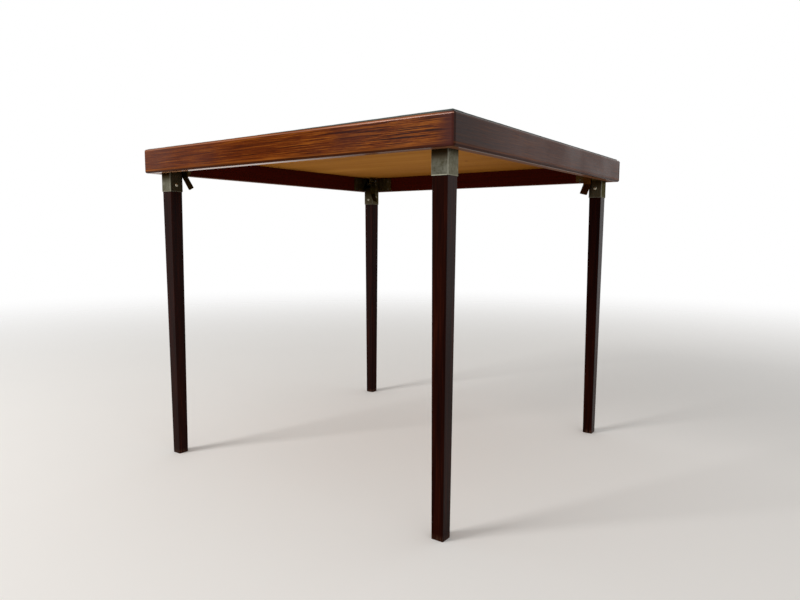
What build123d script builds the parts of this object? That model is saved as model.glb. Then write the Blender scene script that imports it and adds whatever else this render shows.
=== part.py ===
from build123d import *
import math
import os

# Folding card table with a square top on four square, tapered legs.
# It stands on the floor with the centre of its footprint at the origin, +Z up, in millimetres.
# Each leg folds a quarter turn about a pin at its top and lies along the rail beside it.
# The four corners are alike, each one a quarter turn round from the last.

# Wooden frame
table_side = 810.0
frame_height = 700.0
rail_depth = 52.5
rail_thickness = 23.0
frame_corner_radius = 5.5
frame_top_round = 4.8
frame_bottom_round = 4.0
frame_inner_round = 1.0
lip_width = 6.0
lip_round = 0.5

# Panel that lies in the rebate of the frame, and the cloth on it
panel_thickness = 9.5
panel_clearance = 0.2
cloth_thickness = 3.0
cloth_edge_round = 1.2

# Legs
leg_foot_width = 23.4
leg_edge_round = 1.5
leg_top_gap = 2.0

# Square steel caps on the leg tops
cap_width = 32.6
cap_wall = 1.2
cap_clearance = 0.15
cap_reach = 64.5
cap_edge_round = 2.2
fork_drop = 14.0

# Hinge pins of the legs
pivot_drop = 19.0
hinge_pin_radius = 4.0
hinge_head_radius = 6.0
hinge_head_height = 1.5
hinge_pin_chamfer = 0.5
hinge_end_gap = 0.2
pin_clearance = 0.05

# Sheet steel brackets along both rails
sheet = 2.5
running_gap = 0.3
bracket_reach = 82.0
bracket_top_gap = 2.5
bracket_bottom_gap = 2.0
bracket_corner_radius = 5.0
bend_shares = 2.0
strip_length = 20.0
strip_step = 0.8

# Bracket screws
screw_radius = 1.6
screw_head_radius = 3.2
screw_length = 16.0
screw_point = 3.0
screw_end_distance = 11.0
screw_rise = 5.0
screw_drop = 9.5
screw_clearance = 0.05

# Rivets that hold the caps on the legs
rivet_radius = 2.0
rivet_head_radius = 4.0
rivet_head_height = 1.6
rivet_length = 18.0
low_rivet_rise = 15.0
high_rivet_rise = 23.0

# Latch plates: the inner cheek of each leg hinge, with an arm that carries the lever
cheek_margin = 8.2
cheek_corner_radius = 3.0
foot_flange_length = 16.0
arm_reach = 24.5
arm_depth = 18.5
lug_radius = 5.0
lug_sheet = 2.5

# Release levers
lever_sheet = 1.6
lever_width = 19.0
lever_side_gap = 1.0
lever_face_gap = 0.4
lever_bend_drop = 7.5
lever_bend_radius = 5.0
lever_splay = 27.3
lever_handle_length = 31.0
lever_slant = 4.0
lever_tip_skew = 4.5
lever_tip_round = 2.0
lever_notch_drop = 7.5
curl_turn = 270.0
catch_width = 7.6
catch_depth = 4.8
catch_gap = 0.6
catch_side_gap = 0.6

# Lever pins and springs
lever_pin_radius = 2.0
lever_pin_drop = 10.5
lever_head_radius = 3.0
lever_head_height = 0.8
wire_radius = 0.4
wire_gap = 0.05
wire_sides = 6
spring_coil_length = 3.6
spring_turns = 2
spring_end_gap = 1.7
spring_lever_arm = 9.0
spring_fixed_arm = 6.5

quarter_turn = 90.0
half_turn = 180.0
full_turn = 360.0
overrun = 1.0

# Places that follow from the sizes above
frame_bottom = frame_height - rail_depth
panel_underside = frame_height - panel_thickness
inner_side = table_side - 2 * rail_thickness
rebate_side = table_side - 2 * lip_width
panel_side = rebate_side - 2 * panel_clearance
pivot_height = panel_underside - pivot_drop
bracket_bottom = frame_bottom + bracket_bottom_gap
bracket_top = panel_underside - bracket_top_gap
bracket_face = rail_thickness + sheet
bracket_end = rail_thickness + bracket_reach
bend_radius = bend_shares * running_gap
strip_face = bracket_face - strip_step
strip_start = bracket_end - strip_length
cap_near = bracket_face + running_gap
cap_far = cap_near + cap_width
leg_axis = cap_near + cap_width / 2
cap_bottom = pivot_height - cap_reach
fork_bottom = pivot_height - fork_drop
cap_bore = cap_width - 2 * cap_wall
leg_top_width = cap_bore - 2 * cap_clearance
hinge_hole_radius = hinge_pin_radius + pin_clearance
cheek_inner = cap_far + running_gap
cheek_outer = cheek_inner + sheet
cheek_end = leg_axis + cheek_margin
arm_end = cheek_end + arm_reach
arm_bottom = bracket_top - arm_depth
lever_start = arm_end - lug_sheet - lever_side_gap - lever_width
lever_end = lever_start + lever_width
lever_face = cheek_outer + lever_face_gap
lever_pin_height = panel_underside - lever_pin_drop
lever_hole_radius = lever_pin_radius + pin_clearance
curl_radius = lever_hole_radius + lever_sheet / 2
lever_middle = lever_face + lever_sheet / 2
lever_pin_across = lever_middle + curl_radius
lever_bend = frame_bottom - lever_bend_drop
lever_notch = lever_pin_height - lever_notch_drop
first_lug = lever_start - lever_side_gap - lug_sheet
second_lug = lever_end + lever_side_gap
coil_start = first_lug + lug_sheet + spring_end_gap
curl_start = coil_start + spring_coil_length + spring_end_gap
folded_underside = pivot_height - cap_width / 2
leg_top = folded_underside - leg_top_gap
catch_top = folded_underside - catch_gap
catch_start = cap_far + catch_side_gap
coil_radius = lever_pin_across - cheek_outer - wire_gap - wire_radius
edge_across = lever_pin_across - lever_face - lever_sheet
edge_distance = math.hypot(edge_across, lever_notch_drop)
edge_angle = math.degrees(math.atan2(edge_across, lever_notch_drop))
arm_offset = coil_radius + wire_gap + wire_radius
arm_angle = math.degrees(math.asin(arm_offset / edge_distance)) - edge_angle
coil_share = spring_turns + arm_angle / full_turn

corner_names = ["front_left", "front_right", "back_right", "back_left"]
rail_names = ["front", "right", "back", "left"]


# Planes of one corner: x runs along the rail that the leg folds along, y across it
def corner_plane(quarter):
    turned = Plane.XY.rotated((0, 0, quarter * quarter_turn))
    outer_corner = turned.from_local_coords(Vector(-table_side / 2, -table_side / 2, 0))
    return Plane(origin=outer_corner, x_dir=turned.x_dir, z_dir=turned.z_dir)


# Upright plane along the folding rail, seen from inside the table, facing that rail
def fold_plane(corner, across):
    place = corner.from_local_coords(Vector(0, across, 0))
    return Plane(origin=place, x_dir=corner.x_dir, z_dir=-corner.y_dir)


# Upright plane across the folding rail, facing along it
def cross_plane(corner, along):
    place = corner.from_local_coords(Vector(along, 0, 0))
    return Plane(origin=place, x_dir=corner.y_dir, z_dir=corner.x_dir)


# Seat that faces across the folding rail, and one that faces along it
def seat_across(corner, along, across, height):
    place = corner.from_local_coords(Vector(along, across, height))
    return Plane(origin=place, x_dir=corner.x_dir, z_dir=corner.y_dir)


def seat_along(corner, along, across, height):
    place = corner.from_local_coords(Vector(along, across, height))
    return Plane(origin=place, x_dir=corner.y_dir, z_dir=corner.x_dir)


# Plane through the axis of a seat, for turned pieces: x is the radius, y runs out of the seat
def lathe_plane(seat):
    return Plane(origin=seat.origin, x_dir=seat.x_dir, z_dir=-seat.y_dir)


# Seats of the four screws of one bracket, two in each end strip
def screw_seats(corner):
    reach = bracket_end - screw_end_distance
    heights = [bracket_bottom + screw_rise, bracket_top - screw_drop]
    seats = [seat_across(corner, reach, strip_face, height) for height in heights]
    seats += [seat_along(corner, strip_face, reach, height) for height in heights]
    return seats


# Seats of the two rivets of one cap, on its inner faces
def rivet_seats(corner):
    high = seat_across(corner, leg_axis, cap_far, cap_bottom + high_rivet_rise)
    low = seat_along(corner, cap_far, leg_axis, cap_bottom + low_rivet_rise)
    return [high, low]


def save(piece, name):
    piece.label = name
    export_step(piece, os.path.join("parts", name + ".step"))


os.makedirs("parts", exist_ok=True)
corners = [corner_plane(quarter) for quarter in range(len(corner_names))]

# The four rails as one ring, with the rebate for the panel and the holes for the bracket screws
with BuildPart() as ring:
    with BuildSketch(Plane.XY.offset(frame_bottom)):
        RectangleRounded(table_side, table_side, frame_corner_radius)
        Rectangle(inner_side, inner_side, mode=Mode.SUBTRACT)
    extrude(amount=rail_depth)
    with BuildSketch(Plane.XY.offset(panel_underside)):
        Rectangle(rebate_side, rebate_side)
    extrude(amount=panel_thickness, mode=Mode.SUBTRACT)
    lip = ring.faces().sort_by(Axis.Z)[-1]
    fillet(lip.outer_wire().edges(), radius=frame_top_round)
    lip = ring.faces().filter_by(Axis.Z).sort_by(Axis.Z)[-1]
    fillet(lip.inner_wires()[0].edges(), radius=lip_round)
    underside = ring.faces().sort_by(Axis.Z)[0]
    fillet(underside.inner_wires()[0].edges(), radius=frame_inner_round)
    underside = ring.faces().filter_by(Axis.Z).sort_by(Axis.Z)[0]
    fillet(underside.outer_wire().edges(), radius=frame_bottom_round)
    for corner in corners:
        for seat in screw_seats(corner):
            with Locations(seat.location):
                Hole(radius=screw_radius + screw_clearance, depth=screw_length + screw_clearance)

# Each rail is the quarter of the ring between two mitres
for quarter, name in enumerate(rail_names):
    with BuildPart() as rail:
        add(ring.part)
        with BuildSketch(corners[quarter].offset(frame_bottom)):
            with BuildLine():
                Polyline((0, 0), (table_side, 0), (table_side / 2, table_side / 2), close=True)
            make_face()
        extrude(amount=rail_depth, mode=Mode.INTERSECT)
    save(rail.part, "rail_" + name)

# Plywood panel, flush with the rails
with BuildPart() as top_panel:
    with BuildSketch(Plane.XY.offset(panel_underside)):
        Rectangle(panel_side, panel_side)
    extrude(amount=panel_thickness)
save(top_panel.part, "top_panel")

# Playing cloth, stretched over the panel and standing a little above the rails
with BuildPart() as playing_surface:
    with BuildSketch(Plane.XY.offset(frame_height)):
        Rectangle(panel_side, panel_side)
    extrude(amount=cloth_thickness)
    fillet(playing_surface.faces().sort_by(Axis.Z)[-1].edges(), radius=cloth_edge_round)
save(playing_surface.part, "playing_surface")

# Torsion spring of a lever, about the z axis: x points at the latch plate and y down
with BuildPart() as spring:
    with BuildLine() as coil:
        Helix(spring_coil_length / coil_share, spring_coil_length, coil_radius)
    coil_path = coil.edges()[0]
    with BuildSketch(Plane(origin=coil_path @ 0, z_dir=coil_path % 0)):
        RegularPolygon(wire_radius, wire_sides)
    sweep(path=coil_path, is_frenet=True)
    coil_ends = spring.faces().filter_by(GeomType.PLANE)
    fixed_face = coil_ends.sort_by_distance(coil_path @ 0)[0]
    lever_face_of_coil = coil_ends.sort_by_distance(coil_path @ 1)[0]
    extrude(fixed_face, amount=spring_fixed_arm)
    extrude(lever_face_of_coil, amount=spring_lever_arm)

for corner, name in zip(corners, corner_names):
    # Leg: tapered from the cap's mouth to the foot, straight inside the cap
    with BuildPart() as leg:
        with BuildSketch(corner):
            with Locations((leg_axis, leg_axis)):
                RectangleRounded(leg_foot_width, leg_foot_width, leg_edge_round)
        with BuildSketch(corner.offset(cap_bottom)):
            with Locations((leg_axis, leg_axis)):
                RectangleRounded(leg_top_width, leg_top_width, leg_edge_round)
        loft()
        with BuildSketch(corner.offset(cap_bottom)):
            with Locations((leg_axis, leg_axis)):
                RectangleRounded(leg_top_width, leg_top_width, leg_edge_round)
        extrude(amount=leg_top - cap_bottom)
        for seat in rivet_seats(corner):
            with Locations(seat.location):
                Hole(radius=rivet_radius + pin_clearance, depth=rivet_length + pin_clearance)
    save(leg.part, "leg_" + name)

    # Cap: a square steel tube whose two sides run on upwards as round ears on the hinge pin
    with BuildPart() as leg_cap:
        with BuildSketch(corner.offset(cap_bottom)):
            with Locations((leg_axis, leg_axis)):
                RectangleRounded(cap_width, cap_width, cap_edge_round)
        extrude(amount=pivot_height - cap_bottom)
        with BuildSketch(fold_plane(corner, cap_far)):
            with Locations((leg_axis, pivot_height)):
                Circle(cap_width / 2)
        extrude(amount=cap_width)
        with BuildSketch(corner.offset(cap_bottom)):
            with Locations((leg_axis, leg_axis)):
                RectangleRounded(cap_bore, cap_bore, leg_edge_round)
        extrude(amount=cap_width + pivot_height - cap_bottom, mode=Mode.SUBTRACT)
        with BuildSketch(fold_plane(corner, cap_far - cap_wall)):
            with Locations((leg_axis, fork_bottom)):
                Rectangle(cap_width + 2 * overrun, cap_reach, align=(Align.CENTER, Align.MIN))
        extrude(amount=cap_bore, mode=Mode.SUBTRACT)
        with Locations(seat_across(corner, leg_axis, cap_far, pivot_height).location):
            Hole(radius=hinge_hole_radius, depth=cap_width + overrun)
        for seat in rivet_seats(corner):
            with Locations(seat.location):
                Hole(radius=rivet_radius + pin_clearance, depth=cap_wall + overrun)
    save(leg_cap.part, "leg_cap_" + name)

    # Round-headed rivets through the cap into the leg
    dome_radius = (rivet_head_radius**2 + rivet_head_height**2) / (2 * rivet_head_height)
    dome_angle = math.degrees(math.asin(rivet_head_radius / dome_radius))
    with BuildPart() as cap_rivets:
        for seat in rivet_seats(corner):
            with BuildSketch(lathe_plane(seat)):
                with BuildLine():
                    Polyline(
                        (0, rivet_head_height),
                        (0, -rivet_length),
                        (rivet_radius, -rivet_length),
                        (rivet_radius, 0),
                        (rivet_head_radius, 0),
                    )
                    dome_centre = (0, rivet_head_height - dome_radius)
                    CenterArc(dome_centre, dome_radius, quarter_turn - dome_angle, dome_angle)
                make_face()
            revolve(axis=Axis(seat.origin, seat.z_dir))
    save(cap_rivets.part, "cap_rivets_" + name)

    # Bracket: one bent strip along both rails, thinner at its two screwed ends
    with BuildPart() as bracket:
        with BuildSketch(corner.offset(bracket_bottom)):
            with BuildLine():
                Polyline(
                    (rail_thickness, rail_thickness),
                    (bracket_end, rail_thickness),
                    (bracket_end, strip_face),
                    (strip_start, strip_face),
                    (strip_start, bracket_face),
                    (bracket_face, bracket_face),
                    (bracket_face, strip_start),
                    (strip_face, strip_start),
                    (strip_face, bracket_end),
                    (rail_thickness, bracket_end),
                    close=True,
                )
            make_face()
            bend = Vector(bracket_face, bracket_face, 0)
            fillet(vertices().sort_by_distance(bend)[0], bend_radius)
        extrude(amount=bracket_top - bracket_bottom)
        along = Axis(corner.origin, corner.x_dir)
        across = Axis(corner.origin, corner.y_dir)
        ends = bracket.edges().filter_by(across).group_by(along)[-1]
        ends += bracket.edges().filter_by(along).group_by(across)[-1]
        fillet(ends, radius=bracket_corner_radius)
        for seat in screw_seats(corner):
            with Locations(seat.location):
                CounterSinkHole(
                    radius=screw_radius + screw_clearance,
                    counter_sink_radius=screw_head_radius + screw_clearance,
                    depth=sheet,
                    counter_sink_angle=quarter_turn,
                )
        with Locations(seat_across(corner, leg_axis, bracket_face, pivot_height).location):
            Hole(radius=hinge_hole_radius, depth=sheet)
    save(bracket.part, "corner_bracket_" + name)

    # Countersunk wood screws
    with BuildPart() as bracket_screws:
        for seat in screw_seats(corner):
            with BuildSketch(lathe_plane(seat)):
                with BuildLine():
                    Polyline(
                        (0, 0),
                        (screw_head_radius, 0),
                        (screw_radius, screw_radius - screw_head_radius),
                        (screw_radius, screw_point - screw_length),
                        (0, -screw_length),
                        close=True,
                    )
                make_face()
            revolve(axis=Axis(seat.origin, seat.z_dir))
    save(bracket_screws.part, "bracket_screws_" + name)

    # Hinge pin through the bracket, the cap's ears and the cheek, with a flat head
    with BuildPart() as hinge_pin:
        seat = seat_across(corner, leg_axis, 0, pivot_height)
        with BuildSketch(lathe_plane(seat)):
            with BuildLine():
                Polyline(
                    (0, rail_thickness + hinge_end_gap),
                    (hinge_pin_radius - hinge_pin_chamfer, rail_thickness + hinge_end_gap),
                    (hinge_pin_radius, rail_thickness + hinge_end_gap + hinge_pin_chamfer),
                    (hinge_pin_radius, cheek_outer),
                    (hinge_head_radius, cheek_outer),
                    (hinge_head_radius, cheek_outer + hinge_head_height - hinge_pin_chamfer),
                    (hinge_head_radius - hinge_pin_chamfer, cheek_outer + hinge_head_height),
                    (0, cheek_outer + hinge_head_height),
                    close=True,
                )
            make_face()
        revolve(axis=Axis(seat.origin, seat.z_dir))
    save(hinge_pin.part, "hinge_pin_" + name)

    # Latch plate: cheek beside the cap, arm above the lever, foot flange on the bracket, two lugs
    with BuildPart() as latch_plate:
        with BuildSketch(fold_plane(corner, cheek_outer)):
            with BuildLine():
                Polyline(
                    (bracket_face, bracket_bottom),
                    (cheek_end, bracket_bottom),
                    (cheek_end, arm_bottom),
                    (arm_end, arm_bottom),
                    (arm_end, bracket_top),
                    (bracket_face, bracket_top),
                    close=True,
                )
            make_face()
            fillet(vertices().group_by(Axis.X)[1:], cheek_corner_radius)
            with Locations((leg_axis, pivot_height)):
                Circle(hinge_hole_radius, mode=Mode.SUBTRACT)
        extrude(amount=sheet)
        with BuildSketch(cross_plane(corner, bracket_face)):
            with Locations((cheek_inner, bracket_bottom)):
                Rectangle(foot_flange_length, bracket_top - bracket_bottom, align=(Align.MIN, Align.MIN))
            fillet(vertices().group_by(Axis.X)[-1], cheek_corner_radius)
        extrude(amount=sheet)
        for lug_start in (first_lug, second_lug):
            with BuildSketch(cross_plane(corner, lug_start)):
                with Locations((cheek_inner + sheet / 2, lever_pin_height)):
                    lug_length = lever_pin_across - cheek_inner - sheet / 2
                    Rectangle(lug_length, 2 * lug_radius, align=(Align.MIN, Align.CENTER))
                with Locations((lever_pin_across, lever_pin_height)):
                    Circle(lug_radius)
                    Circle(lever_hole_radius, mode=Mode.SUBTRACT)
            extrude(amount=lug_sheet)
    save(latch_plate.part, "latch_plate_" + name)

    # Release lever: a strip curled round its pin, hanging beside the cap, its handle bent away
    bend_point = (lever_middle, lever_bend)
    tip_across = lever_middle + lever_handle_length * math.sin(math.radians(lever_splay))
    tip_height = lever_bend - lever_handle_length * math.cos(math.radians(lever_splay))
    slant_across = lever_slant + lever_width
    with BuildPart() as release_lever:
        with BuildSketch(cross_plane(corner, lever_start)):
            with BuildLine():
                CenterArc((lever_pin_across, lever_pin_height), curl_radius, half_turn, -curl_turn)
                FilletPolyline(
                    (lever_middle, lever_pin_height),
                    bend_point,
                    (tip_across, tip_height),
                    radius=lever_bend_radius,
                )
            trace(line_width=lever_sheet)
        extrude(amount=lever_width + lever_slant)
        with BuildSketch(fold_plane(corner, cheek_inner)):
            with BuildLine():
                Polyline(
                    (lever_start, lever_notch),
                    (lever_start, lever_bend),
                    (lever_start + lever_slant, tip_height),
                    (lever_start + slant_across, tip_height + lever_tip_skew),
                    (lever_end, lever_bend),
                    (lever_end, panel_underside),
                    (curl_start, panel_underside),
                    (curl_start, lever_notch),
                    close=True,
                )
            make_face()
            fillet(vertices().group_by(Axis.Y)[:2], lever_tip_round)
        extrude(amount=-cap_width, mode=Mode.INTERSECT)
        with BuildSketch(fold_plane(corner, lever_face + lever_sheet / 2)):
            with Locations((catch_start, catch_top)):
                Rectangle(catch_width, catch_depth, align=(Align.MIN, Align.MAX))
        extrude(amount=lever_face + lever_sheet / 2 - cheek_inner)
    save(release_lever.part, "release_lever_" + name)

    # Lever pin through both lugs, headed at each end
    with BuildPart() as lever_pin:
        seat = seat_along(corner, 0, lever_pin_across, lever_pin_height)
        pin_end = second_lug + lug_sheet
        with BuildSketch(lathe_plane(seat)):
            with BuildLine():
                Polyline(
                    (0, first_lug - lever_head_height),
                    (lever_head_radius, first_lug - lever_head_height),
                    (lever_head_radius, first_lug),
                    (lever_pin_radius, first_lug),
                    (lever_pin_radius, pin_end),
                    (lever_head_radius, pin_end),
                    (lever_head_radius, pin_end + lever_head_height),
                    (0, pin_end + lever_head_height),
                    close=True,
                )
            make_face()
        revolve(axis=Axis(seat.origin, seat.z_dir))
    save(lever_pin.part, "lever_pin_" + name)

    # Lever spring: one arm up on the latch plate, the other down on the edge of the lever's notch
    coil_place = corner.from_local_coords(Vector(coil_start, lever_pin_across, lever_pin_height))
    coil_plane = Plane(origin=coil_place, x_dir=-corner.y_dir, z_dir=corner.x_dir)
    with BuildPart() as lever_spring:
        with Locations(coil_plane.location):
            add(spring.part)
    save(lever_spring.part, "lever_spring_" + name)
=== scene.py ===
import math
import random

import bmesh
import bpy
from mathutils import Matrix, Vector


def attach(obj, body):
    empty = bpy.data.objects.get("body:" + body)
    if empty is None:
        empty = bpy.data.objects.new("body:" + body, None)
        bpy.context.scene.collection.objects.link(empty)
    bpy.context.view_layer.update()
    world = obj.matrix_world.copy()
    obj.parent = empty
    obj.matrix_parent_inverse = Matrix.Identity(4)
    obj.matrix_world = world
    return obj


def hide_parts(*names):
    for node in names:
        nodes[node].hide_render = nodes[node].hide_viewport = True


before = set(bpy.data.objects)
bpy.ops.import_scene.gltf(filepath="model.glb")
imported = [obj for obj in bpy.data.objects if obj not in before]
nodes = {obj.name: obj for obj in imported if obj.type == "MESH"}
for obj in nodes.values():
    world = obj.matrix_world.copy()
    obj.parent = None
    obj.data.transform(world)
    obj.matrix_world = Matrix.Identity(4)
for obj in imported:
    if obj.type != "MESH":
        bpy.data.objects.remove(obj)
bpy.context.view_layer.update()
corners = ["front_left", "front_right", "back_right", "back_left"]
sides = [(-1, -1), (1, -1), (1, 1), (-1, 1)]  # which way each corner lies in x and y
seeds = [2.0, 13.0, 24.0, 35.0]  # each corner's own noise
alongX, alongY, alongZ = 0, 1, 2


def span(name, number):  # how far a piece of the frame reaches along one axis, to the micrometre
    places = [vertex.co[number] for vertex in nodes[name].data.vertices]
    return round(min(places), 6), round(max(places), 6)


railInside, tableHalf = span("rail_right", alongX)
railBottom, railTop = span("rail_front", alongZ)


class Wire:  # an output socket that can be written into sums
    def __init__(self, paint, socket):
        self.paint = paint
        self.socket = socket

    def sum(self, operation, first, second):
        return self.paint.add("ShaderNodeMath", {"operation": operation}, {0: first, 1: second})

    def __add__(self, other):
        return self.sum("ADD", self, other)

    __radd__ = __add__

    def __sub__(self, other):
        return self.sum("SUBTRACT", self, other)

    def __rsub__(self, other):
        return self.sum("SUBTRACT", other, self)

    def __mul__(self, other):
        return self.sum("MULTIPLY", self, other)

    __rmul__ = __mul__

    def __abs__(self):
        return self.sum("ABSOLUTE", self, 0)


class Paint:  # the nodes of one material or of the room
    def __init__(self, owner):
        owner.use_nodes = True
        self.owner = owner
        self.tree = owner.node_tree
        self.tree.nodes.clear()

    def add(self, kind, settings={}, sockets={}, output=0):
        node = self.tree.nodes.new(kind)
        for key, value in settings.items():
            if key == "stops":
                ramp = node.color_ramp
                while len(ramp.elements) < len(value):
                    ramp.elements.new(0.5)
                for element, (position, colour) in zip(ramp.elements, value):
                    element.position = position
                    element.color = (*colour, 1)
            else:
                setattr(node, key, value)
        for key, value in sockets.items():
            if isinstance(value, Wire):
                self.tree.links.new(value.socket, node.inputs[key])
            elif hasattr(value, "__len__") and node.inputs[key].type == "RGBA":
                node.inputs[key].default_value = (*value, 1)
            else:
                node.inputs[key].default_value = value
        return Wire(self, node.outputs[output]) if len(node.outputs) else node

    def scaled(self, vector, amounts):
        return self.add("ShaderNodeVectorMath", {"operation": "MULTIPLY"}, {0: vector, 1: amounts})

    def moved(self, vector, amounts):
        return self.add("ShaderNodeVectorMath", {"operation": "ADD"}, {0: vector, 1: amounts})

    def times(self, vector, amount):
        return self.add("ShaderNodeVectorMath", {"operation": "SCALE"}, {0: vector, "Scale": amount})

    def apart(self, spot):  # how far the surface is from a spot
        return self.add("ShaderNodeVectorMath", {"operation": "DISTANCE"}, {0: self.place, 1: spot}, output=1)

    def larger(self, first, second):
        return self.add("ShaderNodeMath", {"operation": "MAXIMUM"}, {0: first, 1: second})

    def smaller(self, first, second):
        return self.add("ShaderNodeMath", {"operation": "MINIMUM"}, {0: first, 1: second})

    def noise(self, vector, scale=1.0, detail=3.0, roughness=0.55, seed=0.0):
        spot = self.moved(vector, (seed, seed, seed))
        inputs = {"Vector": spot, "Scale": scale, "Detail": detail, "Roughness": roughness}
        return self.add("ShaderNodeTexNoise", {}, inputs)

    def step(self, value, low, high):  # 0 below low, 1 above high
        inputs = {"Value": value, "From Min": low, "From Max": high}
        return self.add("ShaderNodeMapRange", {"interpolation_type": "SMOOTHSTEP"}, inputs)

    def tones(self, value, look, names=("dark", "middle", "light")):
        stops = [(stop, look[name]) for stop, name in zip(look["toneStops"], names)]
        return self.add("ShaderNodeValToRGB", {"stops": stops}, {0: value})

    def mix(self, amount, first, second):
        inputs = {0: amount, 6: first, 7: second}
        return self.add("ShaderNodeMix", {"data_type": "RGBA"}, inputs, output=2)

    def axis(self, number):  # how far along x, y or z the surface lies
        return self.add("ShaderNodeSeparateXYZ", {}, {0: self.place}, output=number)

    def facing(self, number):  # how much the surface faces along x, y or z
        normal = self.add("ShaderNodeTexCoord", output="Normal")
        return self.add("ShaderNodeSeparateXYZ", {}, {0: normal}, output=number)

    def bump(self, height, distance, strength):
        inputs = {"Height": height, "Distance": distance, "Strength": strength}
        return self.add("ShaderNodeBump", {}, inputs)

    def principled(self, sockets):
        return self.add("ShaderNodeBsdfPrincipled", {}, sockets)

    def blend(self, amount, first, second):
        return self.add("ShaderNodeMixShader", {}, {0: amount, 1: first, 2: second})

    def finish(self, surface):
        self.add("ShaderNodeOutputMaterial", {}, {"Surface": surface})
        return self.owner


def newPaint(name):
    paint = Paint(bpy.data.materials.new(name))
    paint.place = paint.add("ShaderNodeTexCoord", output="Object")
    return paint


def grain(paint, along, layer, seed, drift=None):
    # noise drawn out along the grain: how fine it is, how long its streaks are, which noise it takes and
    # how detailed it is
    fineness, stretch, noise, detail = layer
    amounts = [fineness] * 3
    amounts[along] = fineness / stretch
    vector = paint.place
    if drift is not None:
        sideways = [0.0] * 3
        sideways[alongX if along == alongZ else alongZ] = 1.0
        vector = paint.moved(vector, paint.times(sideways, drift))
    return paint.noise(paint.scaled(vector, amounts), detail=detail, seed=seed + noise)


def woodGrain(paint, look, along, seed):
    # the layers of grain, which wander a little, and the tone that they add up to
    wander = paint.noise(paint.place, scale=look["wanderScale"], detail=2.0, seed=seed)
    drift = (wander - 0.5) * look["drift"]
    layers = {}
    tone = -look["toneShift"]
    for name, (*layer, share) in look["layers"].items():
        layers[name] = grain(paint, along, layer, seed, drift)
        tone = layers[name] * share + tone
    layers["pores"] = paint.step(grain(paint, along, look["pores"], seed, drift), *look["poreLimits"])
    return layers, tone


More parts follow.
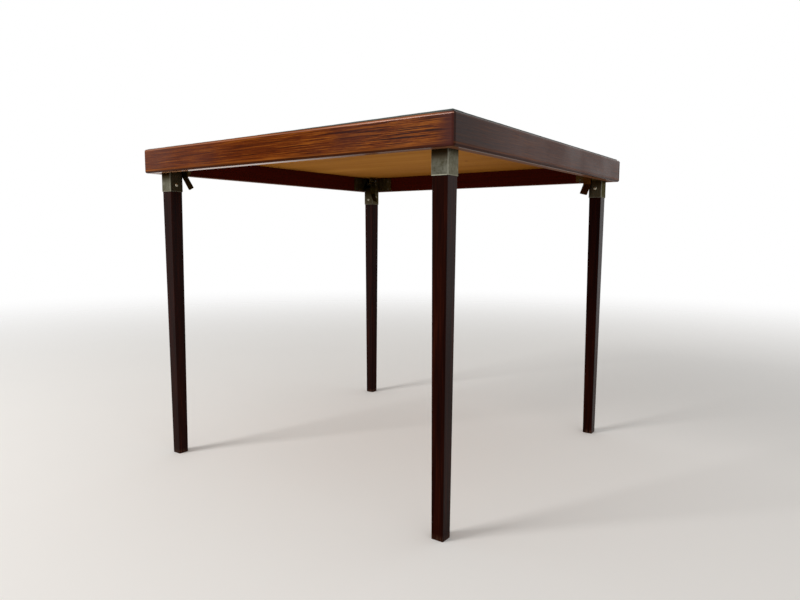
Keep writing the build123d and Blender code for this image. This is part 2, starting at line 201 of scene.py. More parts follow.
rails = {
    # each rail: the way its grain runs, its own noise, how strong its figure is and how light it is at its
    # two ends (stain, and on the right rail mostly painted shade), how strong its lighter edge bands are
    # above and below (rubbed wear and painted highlight), its polish at its start, middle and end, and how
    # bare its underside is at its two ends
    "nodes": {
        "rail_front": {
            "along": alongX, "seed": 3.1, "figure": (0.54, 1.24), "stainAndShade": (0.90, 0.98),
            "bands": (1.0, 1.0), "polish": (0.24, 0.01, 0.18), "bare": (0.20, 0.93),
        },
        "rail_right": {
            "along": alongY, "seed": 17.7, "figure": (0.45, 0.45), "stainAndShade": (0.24, 0.52),
            "bands": (0.1, 0.4), "polish": (0.26, 0.36, 0.40), "bare": (0.95, 0.95),
        },
        "rail_back": {
            "along": alongX, "seed": 31.3, "figure": (0.8, 0.8), "stainAndShade": (0.7, 0.7),
            "bands": (0.6, 0.6), "polish": (0.15, 0.05, 0.15), "bare": (0.93, 0.93),
        },
        "rail_left": {
            "along": alongY, "seed": 47.9, "figure": (0.8, 0.8), "stainAndShade": (0.7, 0.7),
            "bands": (0.6, 0.6), "polish": (0.15, 0.05, 0.15), "bare": (0.93, 0.93),
        },
    },
    "dark": (0.0240, 0.0036, 0.0010),
    "middle": (0.1120, 0.0200, 0.0018),
    "light": (0.2600, 0.0740, 0.0070),
    # lighter edge colour: partly rubbed wear, partly painted highlight
    "edge": (0.2700, 0.0800, 0.0110),
    # painted highlight colour of the line along the front rail's top
    "gleam": (0.6200, 0.3000, 0.2100),
    "purple": (0.0560, 0.0130, 0.0100),
    "inside": (0.0490, 0.0040, 0.0009),
    "under": (0.1500, 0.0640, 0.0320),
    "underDark": (0.0825, 0.0352, 0.0176),
    # painted reflection on the polished underside
    "underReflection": (0.5200, 0.2500, 0.1150),
    "nick": (0.0100, 0.0070, 0.0060),
    "wanderScale": 5.0,
    "drift": 0.0025,
    # layers of grain: how fine, how long, which noise, how detailed, and the share in the tone
    "layers": {
        "bands": (90, 30, 0, 3.0, 0.16),
        "streaks": (480, 62, 5, 2.0, 0.54),
        "fibres": (900, 54, 9, 2.0, 0.60),
        "flecks": (700, 7, 17, 1.0, 0.14),
    },
    "toneShift": 0.725,
    "toneStops": (0.38, 0.50, 0.64),
    "figureAlong": (-0.05, tableHalf - 0.1),
    "pores": (900, 40, 21, 1.0),
    "poreLimits": (0.60, 0.72),
    "poreDepth": 0.5,
    "cloudScale": 7.0,
    "cloudNoise": 13,
    "cloudLimits": (0.50, 0.72),
    "cloudDepth": 0.35,
    "stainAndShadeAlong": (-tableHalf, 0.25 - tableHalf),
    # lighter bands along the top and the bottom edge, partly rubbed wear and partly painted highlight on the
    # rounded edges, and the painted shade line below them
    "topEdge": railTop - 0.0048,
    "bottomEdge": railBottom + 0.0071,
    "shadeEdge": railBottom + 0.0037,
    "edgeBlur": 0.0008,
    "wornAndBrightLimits": (0.34, 0.66),
    "wornAndBrightLeast": 0.22,
    "wornAndBrightMore": 0.45,
    "shadeDepth": 0.85,
    # the near corner of the front rail and the painted highlight line along its top
    "frontFace": (tableHalf - 0.006, tableHalf - 0.003),
    "purpleAlong": (tableHalf - 0.038, tableHalf - 0.004),
    "purpleDepth": 0.92,
    "lowHeight": (railBottom + 0.0061, railBottom + 0.0111),
    "lowAlong": (tableHalf - 0.10, tableHalf - 0.02),
    "lowDepth": 0.6,
    "gleamHeight": railTop - 0.0036,
    "gleamReach": (0.00044, 0.0011),
    "gleamAlong": (0.06, 0.36),
    "gleamLeast": 0.32,
    "gleamPatches": (60, 14, 31, 3.0),
    "patchLimits": (0.40, 0.60),
    "patchLeast": 0.55,
    "patchMore": 0.5,
    # the dark corners at the start and at the end of a rail, along X and along Y: reach and strength
    "arris": [((0.0055, 1.0), (0.0055, 0.15)), ((0.0055, 0.15), (0.0130, 1.0))],
    "arrisDepth": 0.7,
    "arrisDull": 0.8,
    "arrisBare": 0.9,
    # the sides that face the recess
    "insideFace": (railInside + 0.0003, railInside + 0.0014),
    "insideLimits": (0.42, 0.66),
    "insideDepth": 0.5,
    # nicks in the right rail's top edge: place and size
    "nicks": [
        ((tableHalf, 0.2206, railTop - 0.0003), 0.0024),
        ((tableHalf, -0.2211, railTop - 0.0024), 0.0016),
    ],
    "nickRagged": 0.002,
    # polish: where its start and far end fade, and its worn patches
    "startFade": (0.03 - tableHalf, -0.05),
    "farFade": (0.05, tableHalf - 0.03),
    "polishLimits": (0.30, 0.62),
    "polishLeast": 0.75,
    "polishMore": 0.5,
    "bottomDull": 0.4,
    "roughness": 0.32,
    "streakRough": 0.14,
    "poreRough": 0.12,
    "insideRough": 0.2,
    "specular": 0.012,
    "coatRoughness": 0.14,
    # the underside
    "downLimits": (0.90, 0.99),
    "lip": (tableHalf - 0.0085, tableHalf - 0.00425),
    "underGlaze": 0.86,
    "underStreaks": 0.7,
    "bareAlong": (-0.10, tableHalf - 0.15),
    "bareRoughness": 0.9,
    # relief
    "poreDent": 0.8,
    "nickDent": 3,
    "reliefDepth": 0.00012,
    "reliefStrength": 0.5,
}


def railBands(paint, colour, height, streaks, shares):
    # lighter bands along the top and the bottom edge, partly rubbed wear and partly painted highlight, and a
    # painted shade line where the face turns under
    look = rails
    blur = look["edgeBlur"]
    top = paint.step(height, look["topEdge"] - blur, look["topEdge"] + blur)
    bottom = 1 - paint.step(height, look["bottomEdge"] - blur, look["bottomEdge"] + blur)
    shaded = 1 - paint.step(height, look["shadeEdge"] - blur, look["shadeEdge"] + blur)
    wornAndBright = paint.step(streaks, *look["wornAndBrightLimits"]) * look["wornAndBrightMore"] + look["wornAndBrightLeast"]
    colour = paint.mix((top * shares[0] + bottom * shares[1]) * wornAndBright, colour, look["edge"])
    return paint.mix(shaded * look["shadeDepth"], colour, look["dark"]), bottom


def nearCorner(paint, colour, run, height, seed):
    # the front rail is purple towards the corner on its right, most of all low down, and a painted highlight
    # line runs along its top edge, brightest near that corner
    look = rails
    front = paint.step(paint.axis(alongY) * -1, *look["frontFace"])
    cornerDarkening = paint.step(run, *look["purpleAlong"]) * look["purpleDepth"]
    low = 1 - paint.step(height, *look["lowHeight"])
    cornerDarkening = cornerDarkening + low * paint.step(run, *look["lowAlong"]) * (1 - cornerDarkening) * look["lowDepth"]
    colour = paint.mix(cornerDarkening * front, colour, look["purple"])
    line = 1 - paint.step(abs(height - look["gleamHeight"]), *look["gleamReach"])
    near = paint.step(run, *look["gleamAlong"]) * (1 - look["gleamLeast"]) + look["gleamLeast"]
    patches = grain(paint, alongX, look["gleamPatches"], seed)
    patchy = paint.step(patches, *look["patchLimits"]) * look["patchMore"] + look["patchLeast"]
    return paint.mix(line * front * near * patchy, colour, look["gleam"])


def railArris(paint, along, run):
    look = rails
    (startReach, startShare), (endReach, endShare) = look["arris"][along]
    half = tableHalf
    start = paint.step(run * -1, half - startReach, half - startReach / 2) * startShare
    return start + paint.step(run, half - endReach, half - endReach / 2) * endShare


def railNicks(paint, fibres):
    marks = None
    for spot, size in rails["nicks"]:
        ragged = paint.apart(spot) + (fibres - 0.5) * rails["nickRagged"]
        nick = 1 - paint.step(ragged, size * 0.5, size)
        marks = nick if marks is None else marks + nick
    return marks


def railPolish(paint, run, cloud, polish):
    # polish that changes along the rail and wears off in patches
    look = rails
    start = 1 - paint.step(run, *look["startFade"])
    far = paint.step(run, *look["farFade"])
    glaze = start * (polish[0] - polish[1]) + far * (polish[2] - polish[1]) + polish[1]
    return glaze * (paint.step(cloud, *look["polishLimits"]) * look["polishMore"] + look["polishLeast"])


def railWood(name, along, seed, figure, stainAndShade, bands, polish, bare):
    look = rails
    paint = newPaint(name)
    run = paint.axis(along)
    height = paint.axis(alongZ)
    across = abs(paint.axis(alongX + alongY - along))
    layers, tone = woodGrain(paint, look, along, seed)
    streaks, fibres, pores = layers["streaks"], layers["fibres"], layers["pores"]
    strength = paint.step(run, *look["figureAlong"]) * (figure[1] - figure[0]) + figure[0]
    colour = paint.tones(tone * strength + 0.5, look)
    cloud = paint.noise(paint.place, scale=look["cloudScale"], detail=2.0, seed=seed + look["cloudNoise"])
    colour = paint.mix(paint.step(cloud, *look["cloudLimits"]) * look["cloudDepth"], colour, look["purple"])
    colour = paint.mix(pores * strength * look["poreDepth"], colour, look["dark"])
    # the rail's darkness changes along it: stain, and on the right rail mostly painted shade
    share = paint.step(run, *look["stainAndShadeAlong"])
    colour = paint.times(colour, share * (stainAndShade[1] - stainAndShade[0]) + stainAndShade[0])
    colour, bottom = railBands(paint, colour, height, streaks, bands)
    if along == alongX:
        colour = nearCorner(paint, colour, run, height, seed)
    # dark arrises at the corners, and the darkest colour on the sides that face the recess
    arris = railArris(paint, along, run)
    colour = paint.mix(arris * look["arrisDepth"], colour, look["dark"])
    inner = 1 - paint.step(across, *look["insideFace"])
    darker = paint.step(streaks, *look["insideLimits"]) * look["insideDepth"]
    colour = paint.mix(inner, colour, paint.mix(darker, look["inside"], look["dark"]))
    marks = railNicks(paint, fibres)
    colour = paint.mix(marks, colour, look["nick"])
    # the underside shines, except along its outer edge, and its colour there is a painted reflection
    glaze = railPolish(paint, run, cloud, polish) * (1 - inner) * (1 - arris * look["arrisDull"])
    down = paint.step(paint.facing(alongZ) * -1, *look["downLimits"])
    below = down * (1 - paint.step(across, *look["lip"]))
    glaze = glaze * (1 - bottom * look["bottomDull"]) * (1 - down) + below * look["underGlaze"]
    rough = look["roughness"] + streaks * look["streakRough"] + pores * look["poreRough"]
    relief = fibres - pores * look["poreDent"] - marks * look["nickDent"]
    polished = paint.principled({
        "Base Color": paint.mix(below, colour, look["underReflection"]),
        "Roughness": rough + inner * look["insideRough"],
        "Specular IOR Level": look["specular"],
        "Coat Weight": glaze,
        "Coat Roughness": look["coatRoughness"],
        "Normal": paint.bump(relief, look["reliefDepth"], look["reliefStrength"]),
    })
    # the arrises are rubbed bare, and the underside is browner, without its painted reflection, and has lost
    # most of its polish
    raw = paint.mix(streaks * look["underStreaks"], look["under"], look["underDark"])
    dull = paint.principled({
        "Base Color": paint.mix(below, colour, raw),
        "Roughness": look["bareRoughness"],
        "Specular IOR Level": 0.0,
    })
    bareShare = paint.step(run, *look["bareAlong"]) * (bare[1] - bare[0]) + bare[0]
    rubbed = below * bareShare + (1 - below) * arris * look["arrisBare"]
    return paint.finish(paint.blend(rubbed, polished, dull))


legs = {
    "dark": (0.0055, 0.0010, 0.0005),
    "middle": (0.0150, 0.0022, 0.0008),
    "light": (0.0400, 0.0070, 0.0026),
    "scuffed": (0.1000, 0.0500, 0.0300),
    # polish of each leg's front and side, in the order of the corners
    "polish": [(0.13, 0.08), (0.005, 0.22), (0.01, 0.35), (0.10, 0.045)],
    "wanderScale": 4.0,
    "drift": 0.014,
    "layers": {
        "bands": (110, 22, 0, 3.0, 0.55),
        "streaks": (520, 40, 5, 3.0, 0.45),
        "fibres": (1700, 30, 9, 2.0, 0.15),
    },
    "toneShift": 0.08,
    "toneStops": (0.36, 0.54, 0.74),
    "pores": (1000, 24, 21, 1.0),
    "poreLimits": (0.62, 0.74),
    "poreDepth": 0.5,
    "sideLimits": (0.5, 0.9),
    "scuffHeight": (0.002, 0.012),
    "scuffLimits": (0.40, 0.62),
    "scuffDepth": 0.5,
    "roughness": 0.34,
    "streakRough": 0.14,
    "scuffRough": 0.2,
    "specular": 0.012,
    "coatRoughness": 0.22,
    "poreDent": 0.8,
    "reliefDepth": 0.00012,
    "reliefStrength": 0.5,
}


def legWood(name, seed, polish):
    look = legs
    paint = newPaint(name)
    layers, tone = woodGrain(paint, look, alongZ, seed)
    streaks, pores = layers["streaks"], layers["pores"]
    colour = paint.tones(tone, look)
    colour = paint.mix(pores * look["poreDepth"], colour, look["dark"])
    side = paint.step(abs(paint.facing(alongX)), *look["sideLimits"])
    foot = 1 - paint.step(paint.axis(alongZ), *look["scuffHeight"])  # scuffed end
    scuffs = foot * paint.step(streaks, *look["scuffLimits"]) * look["scuffDepth"]
    colour = paint.mix(scuffs, colour, look["scuffed"])
    relief = layers["fibres"] - pores * look["poreDent"]
    return paint.finish(paint.principled({
        "Base Color": colour,
        "Roughness": look["roughness"] + streaks * look["streakRough"] + foot * look["scuffRough"],
        "Specular IOR Level": look["specular"],
        "Coat Weight": side * (polish[1] - polish[0]) + polish[0],
        "Coat Roughness": look["coatRoughness"],
        "Normal": paint.bump(relief, look["reliefDepth"], look["reliefStrength"]),
    }))


panel = {
    "dark": (0.255, 0.095, 0.0120),
    "middle": (0.372, 0.152, 0.0225),
    "light": (0.470, 0.212, 0.0380),
    "panelShade": (0.150, 0.045, 0.0015),
    "knot": (0.060, 0.024, 0.010),
    # how the figure, its wandering and the fibres are drawn out, and their shares in the tone
    "figureScale": (1.2, 16.0, 16.0),
    "wanderScale": (1.5, 5.0, 5.0),
    "fibreScale": (26.0, 700.0, 700.0),
    "figureShare": 0.55,
    "wanderShare": 0.35,
    "fibreShare": 0.22,
    "toneShift": 0.06,
    "toneStops": (0.32, 0.52, 0.74),
    # painted shade: darker and browner towards the right and the back
    "panelShadeRight": (0.0, 0.42),
    "panelShadeRightDepth": 0.48,
    "panelShadeBack": (0.0, 0.40),
    "panelShadeBackDepth": 0.46,
    "panelShadeLeast": 0.6,
    "panelShadeMore": 0.8,
    "knotPlace": (0.1233, 0.1183, span("top_panel", alongZ)[0]),
    "knotSize": 0.0045,
    "knotShares": (0.6, 1.4),  # its dark middle and its outer edge
    "knotRagged": 0.004,
    "knotDepth": 0.85,
    "roughness": 0.72,
    "fibreRough": 0.18,
    "specular": 0.02,
    "figureRelief": 0.4,
    "reliefDepth": 0.0001,
    "reliefStrength": 0.6,
}


def panelWood(name):
    look = panel
    paint = newPaint(name)
    wander = paint.noise(paint.scaled(paint.place, look["wanderScale"]), detail=2.0, seed=4.0)
    figure = paint.noise(paint.scaled(paint.place, look["figureScale"]), detail=4.0, roughness=0.6, seed=8.0)
    fibres = paint.noise(paint.scaled(paint.place, look["fibreScale"]), detail=3.0, seed=12.0)
    tone = figure * look["figureShare"] + wander * look["wanderShare"] + fibres * look["fibreShare"]
    colour = paint.tones(tone - look["toneShift"], look)
    # painted shade towards the right and the back
    panelShade = paint.step(paint.axis(alongX), *look["panelShadeRight"]) * look["panelShadeRightDepth"]
    panelShade = panelShade + paint.step(paint.axis(alongY), *look["panelShadeBack"]) * look["panelShadeBackDepth"]
    colour = paint.mix(panelShade * (figure * look["panelShadeMore"] + look["panelShadeLeast"]), colour, look["panelShade"])
    ragged = paint.apart(look["knotPlace"]) + (fibres - 0.5) * look["knotRagged"]
    knot = 1 - paint.step(ragged, *(look["knotSize"] * share for share in look["knotShares"]))
    colour = paint.mix(knot * look["knotDepth"], colour, look["knot"])
    relief = fibres + figure * look["figureRelief"]
    return paint.finish(paint.principled({
        "Base Color": colour,
        "Roughness": look["roughness"] + fibres * look["fibreRough"],
        "Specular IOR Level": look["specular"],
        "Normal": paint.bump(relief, look["reliefDepth"], look["reliefStrength"]),
    }))


clothBottom, clothLevel = span("playing_surface", alongZ)
cloth = {
    "half": span("playing_surface", alongX)[1],
    "bottom": clothBottom,
    "top": clothLevel,
    "edgeRound": 0.0012,
    "cornerRound": 0.0020,
    "cells": 96,
    "roundSteps": 4,  # faces in a quarter turn
    "hem": 0.0003,
    # the cut edge along the front: how far it has sunk on the left and lifted on the right, and between
    # which places the one turns into the other
    "sunk": -0.0021,
    "lift": 0.0005,
    "liftFrom": -0.10,
    "liftTo": 0.38,
    "waver": 0.0002,
    "waves": ((61, 1.3), (47, 0.4), 190),  # along x, along y and across, the last half as strong
    "slope": 0.018,
    "slopeShares": (0.3, 0.65, 1.0),
    "frayed": (0.1050, 0.1250, 0.1150),
    "dark": (0.0260, 0.0440, 0.0450),
    "middle": (0.0420, 0.0660, 0.0680),
    "light": (0.0760, 0.1050, 0.1060),
    # noises: scale, detail, roughness, seed, and the share in the tone
    "layers": {
        "clouds": (6.0, 4.0, 0.6, 2.0, 0.34),
        "wornAndBright": (22.0, 3.0, 0.55, 6.0, 0.22),
        "nap": (900.0, 3.0, 0.7, 10.0, 0.32),
        "fluff": (2600.0, 2.0, 0.55, 14.0, 0.22),
    },
    "toneShift": 0.05,
    "toneStops": (0.34, 0.52, 0.72),
    "frayReach": (0.003, 0.0004),
    "frayLeast": 0.45,
    "frayMore": 0.5,
    "roughness": 0.86,
    "napRough": 0.10,
    "specular": 0.15,
    "sheen": 0.25,
    "sheenRoughness": 0.5,
    "fluffRelief": 0.6,
    "reliefDepth": 0.00025,
    "reliefStrength": 0.7,
}


def clothPaint(name):
    look = cloth
    paint = newPaint(name)
    layers = {}
    tone = -look["toneShift"]
    for layer, (scale, detail, roughness, seed, share) in look["layers"].items():
        layers[layer] = paint.noise(paint.place, scale, detail, roughness, seed)
        tone = layers[layer] * share + tone
    colour = paint.tones(tone, look)
    nap = layers["nap"]
    # the cut edge is frayed and paler
    reach = paint.larger(abs(paint.axis(alongX)), abs(paint.axis(alongY)))
    edge = paint.step(reach, *(look["half"] - inset for inset in look["frayReach"]))
    colour = paint.mix(edge * (nap * look["frayMore"] + look["frayLeast"]), colour, look["frayed"])
    relief = nap + layers["fluff"] * look["fluffRelief"]
    return paint.finish(paint.principled({
        "Base Color": colour,
        "Roughness": look["roughness"] + nap * look["napRough"],
        "Specular IOR Level": look["specular"],
        "Sheen Weight": look["sheen"],
        "Sheen Roughness": look["sheenRoughness"],
        "Normal": paint.bump(relief, look["reliefDepth"], look["reliefStrength"]),
    }))


steel = {
    # finishes: the metal where it is worn, plain and dull, and its roughness
    "finishes": {
        "cap": ((0.260, 0.252, 0.198), (0.156, 0.152, 0.116), (0.086, 0.078, 0.048), 0.36),
        "bracket": ((0.120, 0.088, 0.036), (0.068, 0.044, 0.014), (0.034, 0.019, 0.005), 0.46),
        "brown": ((0.120, 0.066, 0.022), (0.078, 0.040, 0.011), (0.048, 0.021, 0.004), 0.50),
        "lever": ((0.062, 0.046, 0.016), (0.026, 0.018, 0.004), (0.011, 0.007, 0.001), 0.44),
        "rusty": ((0.150, 0.056, 0.010), (0.078, 0.024, 0.003), (0.040, 0.011, 0.001), 0.58),
        "rivet": ((0.520, 0.490, 0.410), (0.370, 0.340, 0.260), (0.170, 0.145, 0.092), 0.32),
        "screw": ((0.160, 0.130, 0.080), (0.085, 0.064, 0.034), (0.035, 0.024, 0.010), 0.42),
        "spring": ((0.300, 0.295, 0.280), (0.170, 0.165, 0.155), (0.070, 0.064, 0.056), 0.38),
    },
    # what the metal shows at grazing angles
    "tint": (0.60, 0.46, 0.26),
    "capTint": (0.42, 0.38, 0.28),
    # small pieces at each corner: name of the paint, finish, which noise, and the way it is brushed
    "pieces": {
        "cap_rivets": ("rivets", "rivet", 1, alongZ),
        "corner_bracket": ("bracket", "bracket", 2, alongZ),
        "latch_plate": ("latch", "bracket", 3, alongZ),
        "release_lever": ("lever", "lever", 4, alongZ),
        "bracket_screws": ("screws", "screw", 5, alongZ),
        "hinge_pin": ("hinge", "screw", 6, alongZ),
        "lever_pin": ("pin", "screw", 7, alongZ),
        "lever_spring": ("spring", "spring", 8, alongX),
    },
    # the corner on the right of the photo has browner pieces
    "brownCorner": "back_right",
    "brownPieces": {"corner_bracket": "brown", "release_lever": "rusty"},
    # noises: scale, detail, roughness and which noise, and for the hairs the same as for grain
    "patches": (70.0, 4.0, 0.65, 0),
    "blots": (260.0, 3.0, 0.55, 3),
    "stains": (120.0, 3.0, 0.55, 11),
    "hairs": (2400, 30, 7, 2.0),
    "patchShare": 0.50,
    "blotShare": 0.28,
    "hairShare": 0.28,
    "toneShift": 0.03,
    "toneStops": (0.38, 0.51, 0.68),
    "stainLimits": (0.60, 0.80),
    "stainDepth": 0.35,
    "metallic": 0.97,
    "stainMetallic": 0.25,
    "blotRough": 0.16,
    "stainRough": 0.22,
    "specular": 0.15,
    "blotRelief": 0.5,
    "reliefDepth": 0.00004,
    "reliefStrength": 0.6,
}


def agedSteel(name, finish, seed, brushed=alongZ, corner=None):
    look = steel
    wornAndBright, plain, dull, roughness = look["finishes"][finish]
    paint = newPaint(name)
    noises = []
    for scale, detail, fineness, noise in (look["patches"], look["blots"], look["stains"]):
        noises.append(paint.noise(paint.place, scale, detail, fineness, seed + noise))
    patches, blots, stains = noises
    hairs = grain(paint, brushed, look["hairs"], seed)
    tone = patches * look["patchShare"] + blots * look["blotShare"] + hairs * look["hairShare"]
    metal = {"toneStops": look["toneStops"], "dark": dull, "middle": plain, "light": wornAndBright}
    colour = paint.tones(tone - look["toneShift"], metal)
    stains = paint.step(stains, *look["stainLimits"])
    colour = paint.mix(stains * look["stainDepth"], colour, dull)
    if corner is not None:
        colour = capWearAndShade(paint, colour, wornAndBright, corner, patches)
    relief = hairs + blots * look["blotRelief"]
    return paint.finish(paint.principled({
        "Base Color": colour,
        "Metallic": look["metallic"] - stains * look["stainMetallic"],
        "Roughness": roughness + blots * look["blotRough"] + stains * look["stainRough"],
        "Specular IOR Level": look["specular"],
        "Specular Tint": look["capTint"] if finish == "cap" else look["tint"],
        "Normal": paint.bump(relief, look["reliefDepth"], look["reliefStrength"]),
    }))


capInner, capOuter = span("leg_cap_front_right", alongX)
caps = {
    # painted shade on the two inner faces
    "innerShade": (0.0240, 0.0130, 0.0011),
    "shade": (0.018, 0.010, 0.003),
    "middle": (capInner + capOuter) / 2,
    "half": (capOuter - capInner) / 2,
    "bottom": span("leg_cap_front_right", alongZ)[0],
    # painted shade: how light the faces towards -Y and +X are at each corner
    "frontShadeTone": [0.86, 0.36, 1.0, 1.0],
    "rightShadeTone": [0.70, 0.88, 0.50, 1.0],
    # shares of the cap's half width at which a face begins
    "innerShares": (-0.985, -0.93),
    "outerShares": (0.93, 0.985),
    "innerShadeLeast": 0.55,
    "innerShadeMore": 0.5,
    # painted shadow under the frame, by the height above the cap's lower edge
    "shadeHeight": (0.016, 0.035),
    "shadeRagged": 0.012,
    "shadeLeast": 0.10,
    "shadeFront": 0.75,
    "topHeight": (0.034, 0.040),
    "topDepth": 0.5,
    # bright edges, partly bare wear and partly painted highlight
    "edgeShares": (0.84, 0.95),
    "rimHeight": (0.0006, 0.0022),
    "bareGlintLeast": 0.30,
    "bareGlintMore": 0.7,
    "bareGlintInner": 0.6,
    "bareGlintShaded": 0.6,
}


def capWearAndShade(paint, colour, wornAndBright, corner, patches):
    # the two inner faces are darkened with painted shade, and the edges are bright, partly bare wear and
    # partly painted highlight
    look = caps
    side = sides[corner]
    outX = (paint.axis(alongX) * side[0] - look["middle"]) * (1 / look["half"])
    outY = (paint.axis(alongY) * side[1] - look["middle"]) * (1 / look["half"])
    innerX = 1 - paint.step(outX, *look["innerShares"])
    innerY = 1 - paint.step(outY, *look["innerShares"])
    inner = paint.larger(innerX, innerY)
    innerShaded = inner * (patches * look["innerShadeMore"] + look["innerShadeLeast"])
    colour = paint.mix(innerShaded, colour, look["innerShade"])
    # painted shade: each corner's front and right faces are darkened by their own amount, and below a painted
    # shadow darkens the top of the cap under the frame, most of all on the front faces
    front = paint.step(outY * -side[1], *look["outerShares"])
    right = paint.step(outX * side[0], *look["outerShares"])
    frontShadeTone = 1 - front * (1 - look["frontShadeTone"][corner])
    rightShadeTone = 1 - right * (1 - look["rightShadeTone"][corner])
    colour = paint.times(colour, frontShadeTone * rightShadeTone)
    # painted shadow on the top of the cap, under the frame
    height = paint.axis(alongZ) - look["bottom"]
    ragged = height + (patches - 0.5) * look["shadeRagged"]
    high = paint.step(ragged, *look["shadeHeight"])
    shade = high * (front * look["shadeFront"] + look["shadeLeast"])
    shade = shade + paint.step(ragged, *look["topHeight"]) * look["topDepth"]
    colour = paint.mix(shade, colour, look["shade"])
    # bright edges and rim: partly bare wear, partly painted highlight
    nearest = paint.smaller(abs(outX), abs(outY))
    rim = 1 - paint.step(height, *look["rimHeight"])
    bare = paint.larger(paint.step(nearest, *look["edgeShares"]), rim)
    bare = bare * (patches * look["bareGlintMore"] + look["bareGlintLeast"]) * (1 - inner * look["bareGlintInner"])
    return paint.mix(bare * (1 - high * look["bareGlintShaded"]), colour, wornAndBright)


def wear(node, material):
    mesh = nodes[node].data
    mesh.materials.clear()
    mesh.materials.append(material)
    for face in mesh.polygons:
        face.material_index = 0


def pieceFrom(name, build, material, body):
    mesh = bpy.data.meshes.new(name)
    build.to_mesh(mesh)
    build.free()
    piece = bpy.data.objects.new(name, mesh)
    bpy.context.scene.collection.objects.link(piece)
    piece.data.materials.append(material)
    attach(piece, body)
    return piece


# materials on the pieces from the frame
for name, looks in rails["nodes"].items():
    wear(name, railWood("wood_" + name, **looks))
wear("top_panel", panelWood("plywood"))
for number, corner in enumerate(corners):
    seed = seeds[number]
    wear("leg_" + corner, legWood("wood_leg_" + corner, seed, legs["polish"][number]))
    wear("leg_cap_" + corner, agedSteel("cap_" + corner, "cap", seed, corner=number))
    for piece, (paintName, finish, noise, brushed) in steel["pieces"].items():
        if corner == steel["brownCorner"]:
            finish = steel["brownPieces"].get(piece, finish)
        wear(piece + "_" + corner, agedSteel(paintName + "_" + corner, finish, seed + noise, brushed))
print("materials on the frame's pieces")


def clothRings():
    # insets and heights of the rings, from the underside up over the edge and in across the top
    look = cloth
    rounding = look["edgeRound"]
    rings = [(2 * look["hem"], look["bottom"]), (0.0, look["bottom"] + look["hem"])]
    for number in range(look["roundSteps"] + 1):
        turn = math.radians(90 * number / look["roundSteps"])
        inset = rounding * (1 - math.cos(turn))
        rings.append((inset, look["top"] - rounding + rounding * math.sin(turn)))
    for share in look["slopeShares"]:
        rings.append((rounding + (look["slope"] - rounding) * share, look["top"]))
    return rings


def clothOutline(inset):
    # the points of the square with rounded corners, drawn in by the inset
    look = cloth
    points = []
    side = look["half"] - inset
    bend = max(look["cornerRound"] - inset, look["hem"])
    for quarter in range(4):
        spin = Matrix.Rotation(math.radians(90 * quarter), 3, "Z")
        for number in range(look["cells"]):
            share = number / (look["cells"] - 1)
            points.append(spin @ Vector((side, (side - bend) * (2 * share - 1), 0)))
        for number in range(1, look["roundSteps"]):
            turn = math.radians(90 * number / look["roundSteps"])
            middle = Vector((side - bend, side - bend, 0))
            points.append(spin @ (middle + Vector((math.cos(turn), math.sin(turn), 0)) * bend))
    return points


def clothRise(point, inset):
    # the cut edge waves a little, and along the front it has sunk on the left and lifted on the right
    look = cloth
    (pitchX, shiftX), (pitchY, shiftY), pitchAcross = look["waves"]
    swell = math.sin(point.x * pitchX + shiftX) * math.sin(point.y * pitchY + shiftY)
    swell += 0.5 * math.sin((point.x - point.y) * pitchAcross)
    share = min(max((point.x - look["liftFrom"]) / (look["liftTo"] - look["liftFrom"]), 0), 1)
    front = min(max((-point.y - look["half"] + 2 * look["slope"]) / look["slope"], 0), 1)
    slack = look["sunk"] + (look["lift"] - look["sunk"]) * share
    fading = max(1 - inset / look["slope"], 0)
    return (look["waver"] * swell / 1.5 + slack * front) * fading


def clothPiece():
    look = cloth
    build = bmesh.new()
    loops = []
    for inset, height in clothRings():
        share = (height - look["bottom"]) / (look["top"] - look["bottom"])
        loop = []
        for point in clothOutline(inset):
            rise = share * clothRise(point, inset)
            loop.append(build.verts.new((point.x, point.y, height + rise)))
        loops.append(loop)
    for lower, upper in zip(loops, loops[1:]):
        for number in range(len(lower)):
            after = (number + 1) % len(lower)
            build.faces.new((lower[number], lower[after], upper[after], upper[number]))
    build.faces.new(loops[-1])
    build.faces.new(list(reversed(loops[0])))
    for face in build.faces:
        face.smooth = True
    piece = pieceFrom("clothTop", build, clothPaint("feltCloth"), "frame")
    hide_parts("playing_surface")


clothPiece()
print("cloth")


screws = {
    "turnSeed": 20,
    "slotLength": 0.0052,
    "slotWidth": 0.0009,
    "proud": 0.00004,  # how far the slot's dark face lies over the head
    # faces of one head lie closer than the reach and face the same way, and a head has at least so many
    "headReach": 0.004,
    "sameWay": 0.99,
    "headFaces": 4,
    # a head is upright, bigger than a sliver, and points into the table
    "tiltMost": 0.02,
    "areaLeast": 1e-9,
    "inwardLeast": 0.2,
    "grimeAndShadeScale": 900.0,
    "toneStops": (0.35, 0.65),
    "grimeAndShade": (0.006, 0.005, 0.004),
    "dustAndShade": (0.024, 0.018, 0.012),
    "roughness": 0.7,
    "grimeAndShadeRough": 0.2,
}


# the dark quad over each screw head's slot: painted shade with some grime
def slotPaint(name):
    paint = newPaint(name)
    grimeAndShade = paint.noise(paint.place, scale=screws["grimeAndShadeScale"], detail=2.0, seed=5.0)
    colour = paint.tones(grimeAndShade, screws, ("grimeAndShade", "dustAndShade"))
    roughness = screws["roughness"] + grimeAndShade * screws["grimeAndShadeRough"]
    return paint.finish(paint.principled({"Base Color": colour, "Roughness": roughness}))


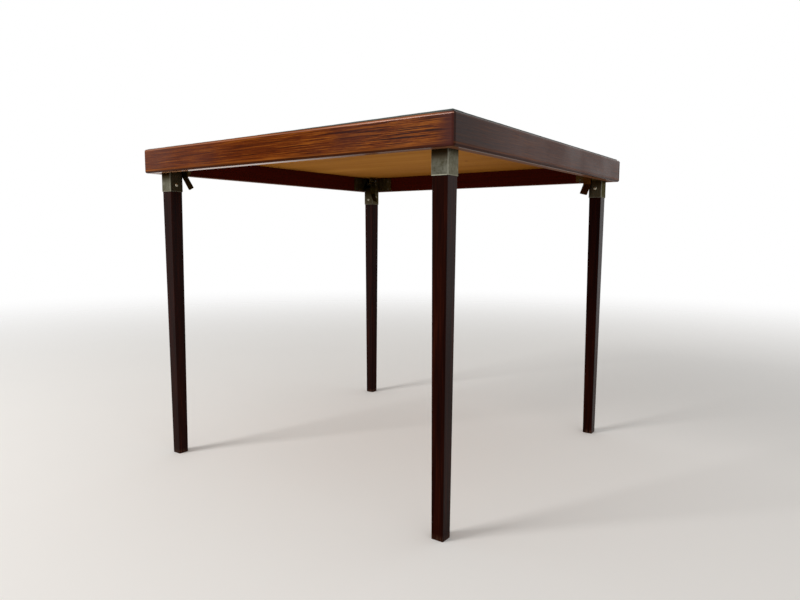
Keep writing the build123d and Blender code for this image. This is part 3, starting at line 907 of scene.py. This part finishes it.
def screwHeads(mesh):
    # the flat heads: faces that point into the table, grouped by the head that they belong to
    groups = []
    for face in mesh.polygons:
        centre, normal = face.center.copy(), face.normal.copy()
        inward = -centre.x * normal.x - centre.y * normal.y
        pointsIn = inward > screws["inwardLeast"] * Vector((centre.x, centre.y)).length
        if not pointsIn or abs(normal.z) >= screws["tiltMost"] or face.area <= screws["areaLeast"]:
            continue
        for group in groups:
            near = (group[0][0] - centre).length < screws["headReach"]
            if near and group[0][1].dot(normal) > screws["sameWay"]:
                group.append((centre, normal))
                break
        else:
            groups.append([(centre, normal)])
    return [group for group in groups if len(group) >= screws["headFaces"]]


def screwSlots():
    material = slotPaint("slotShadow")
    for number, corner in enumerate(corners):
        random.seed(screws["turnSeed"] + number)
        build = bmesh.new()
        for group in screwHeads(nodes["bracket_screws_" + corner].data):
            normal = group[0][1]
            middle = sum((centre for centre, _ in group), Vector()) / len(group)
            level = max(centre.dot(normal) for centre, _ in group)
            middle += normal * (level - middle.dot(normal) + screws["proud"])
            angle = random.uniform(0, math.pi)
            across = Vector((0, 0, 1)).cross(normal).normalized()
            along = across * math.cos(angle) + Vector((0, 0, 1)) * math.sin(angle)
            long = along * screws["slotLength"] / 2
            wide = normal.cross(along) * screws["slotWidth"] / 2
            places = [middle + long * ends + wide * edges for ends, edges in sides]
            build.faces.new([build.verts.new(place) for place in places])
        pieceFrom("screwSlots_" + corner, build, material, "frame")


screwSlots()
print("screw slots")


stage = {
    "floor": (0.93, 0.915, 0.895),
    "paleShare": 0.97,
    "mottleScale": 1.5,
    "roughness": 0.9,
    "fadeFrom": 0.8,
    "fadeTo": 4.5,
    "floorHalf": 6.0,
    "roomLight": 0.56,
    "roomColour": (1.0, 0.985, 0.965),
}


def floorPaint(name):
    paint = newPaint(name)
    mottle = paint.noise(paint.place, scale=stage["mottleScale"], detail=3.0, seed=1.0)
    pale = [channel * stage["paleShare"] for channel in stage["floor"]]
    colour = paint.mix(mottle, pale, stage["floor"])
    dull = {"Base Color": colour, "Roughness": stage["roughness"], "Specular IOR Level": 0.0}
    surface = paint.principled(dull)
    # it fades out far away, and can be seen through from below
    away = paint.apart((0, 0, 0))
    below = paint.add("ShaderNodeNewGeometry", output="Backfacing")
    gone = paint.larger(paint.step(away, stage["fadeFrom"], stage["fadeTo"]), below)
    return paint.finish(paint.blend(gone, surface, paint.add("ShaderNodeBsdfTransparent")))


def makeFloor():
    build = bmesh.new()
    half = stage["floorHalf"]
    build.faces.new([build.verts.new((x * half, y * half, 0)) for x, y in sides])
    mesh = bpy.data.meshes.new("floor")
    build.to_mesh(mesh)
    build.free()
    floor = bpy.data.objects.new("floor", mesh)
    bpy.context.scene.collection.objects.link(floor)
    mesh.materials.append(floorPaint("floorPaint"))


def makeRoom():
    # white to the camera and in reflections, and a softer light on everything else
    room = Paint(bpy.data.worlds.new("room"))
    bpy.context.scene.world = room.owner
    seen = None
    for kind in ("Is Camera Ray", "Is Glossy Ray", "Is Transmission Ray"):
        ray = room.add("ShaderNodeLightPath", output=kind)
        seen = ray if seen is None else room.larger(seen, ray)
    lit = {"Color": stage["roomColour"], "Strength": stage["roomLight"]}
    light = room.add("ShaderNodeBackground", {}, lit)
    white = room.add("ShaderNodeBackground", {}, {"Color": (1, 1, 1), "Strength": 1.0})
    room.add("ShaderNodeOutputWorld", {}, {"Surface": room.blend(seen, light, white)})


lamps = {
    "window": {"at": (-1.55, -3.10, 2.15), "size": 1.1, "watts": 72, "colour": (1.0, 0.985, 0.96)},
    "fill": {"at": (3.2, -1.6, 2.2), "size": 2.6, "watts": 8, "colour": (0.97, 0.985, 1.0)},
}
lampTarget = (0, 0, 0.5)


def makeLamps():
    for name, look in lamps.items():
        lamp = bpy.data.lights.new(name, "AREA")
        lamp.shape = "SQUARE"
        lamp.size = look["size"]
        lamp.energy = look["watts"]
        lamp.color = look["colour"]
        holder = bpy.data.objects.new(name, lamp)
        holder.location = look["at"]
        aim = Vector(lampTarget) - Vector(look["at"])
        holder.rotation_euler = aim.to_track_quat("-Z", "Y").to_euler()
        bpy.context.scene.collection.objects.link(holder)


shot = {
    "at": (0.9107, -1.2410, 0.5144),
    "turn": 125.881,
    "tilt": -5.946,
    "roll": 0.242,
    "focal": 634.53,  # in pixels of the photograph's frame
    "frameWidth": 800,
    "sensor": 36.0,
}


def makeCamera():
    camera = bpy.data.cameras.new("camera")
    camera.sensor_width = shot["sensor"]
    camera.lens = shot["focal"] * shot["sensor"] / shot["frameWidth"]
    holder = bpy.data.objects.new("camera", camera)
    turn, tilt, roll = (math.radians(shot[name]) for name in ("turn", "tilt", "roll"))
    ahead = Vector((math.cos(turn) * math.cos(tilt), math.sin(turn) * math.cos(tilt), math.sin(tilt)))
    right = Vector((math.sin(turn), -math.cos(turn), 0))
    above = right.cross(ahead)
    sideways = right * math.cos(roll) + above * math.sin(roll)
    upright = above * math.cos(roll) - right * math.sin(roll)
    pose = Matrix((sideways, upright, -ahead)).transposed().to_4x4()
    pose.translation = Vector(shot["at"])
    holder.matrix_world = pose
    bpy.context.scene.collection.objects.link(holder)
    bpy.context.scene.camera = holder


makeFloor()
makeRoom()
makeLamps()
makeCamera()
bpy.context.scene.view_settings.view_transform = "Standard"
print("stage, lamps and camera")
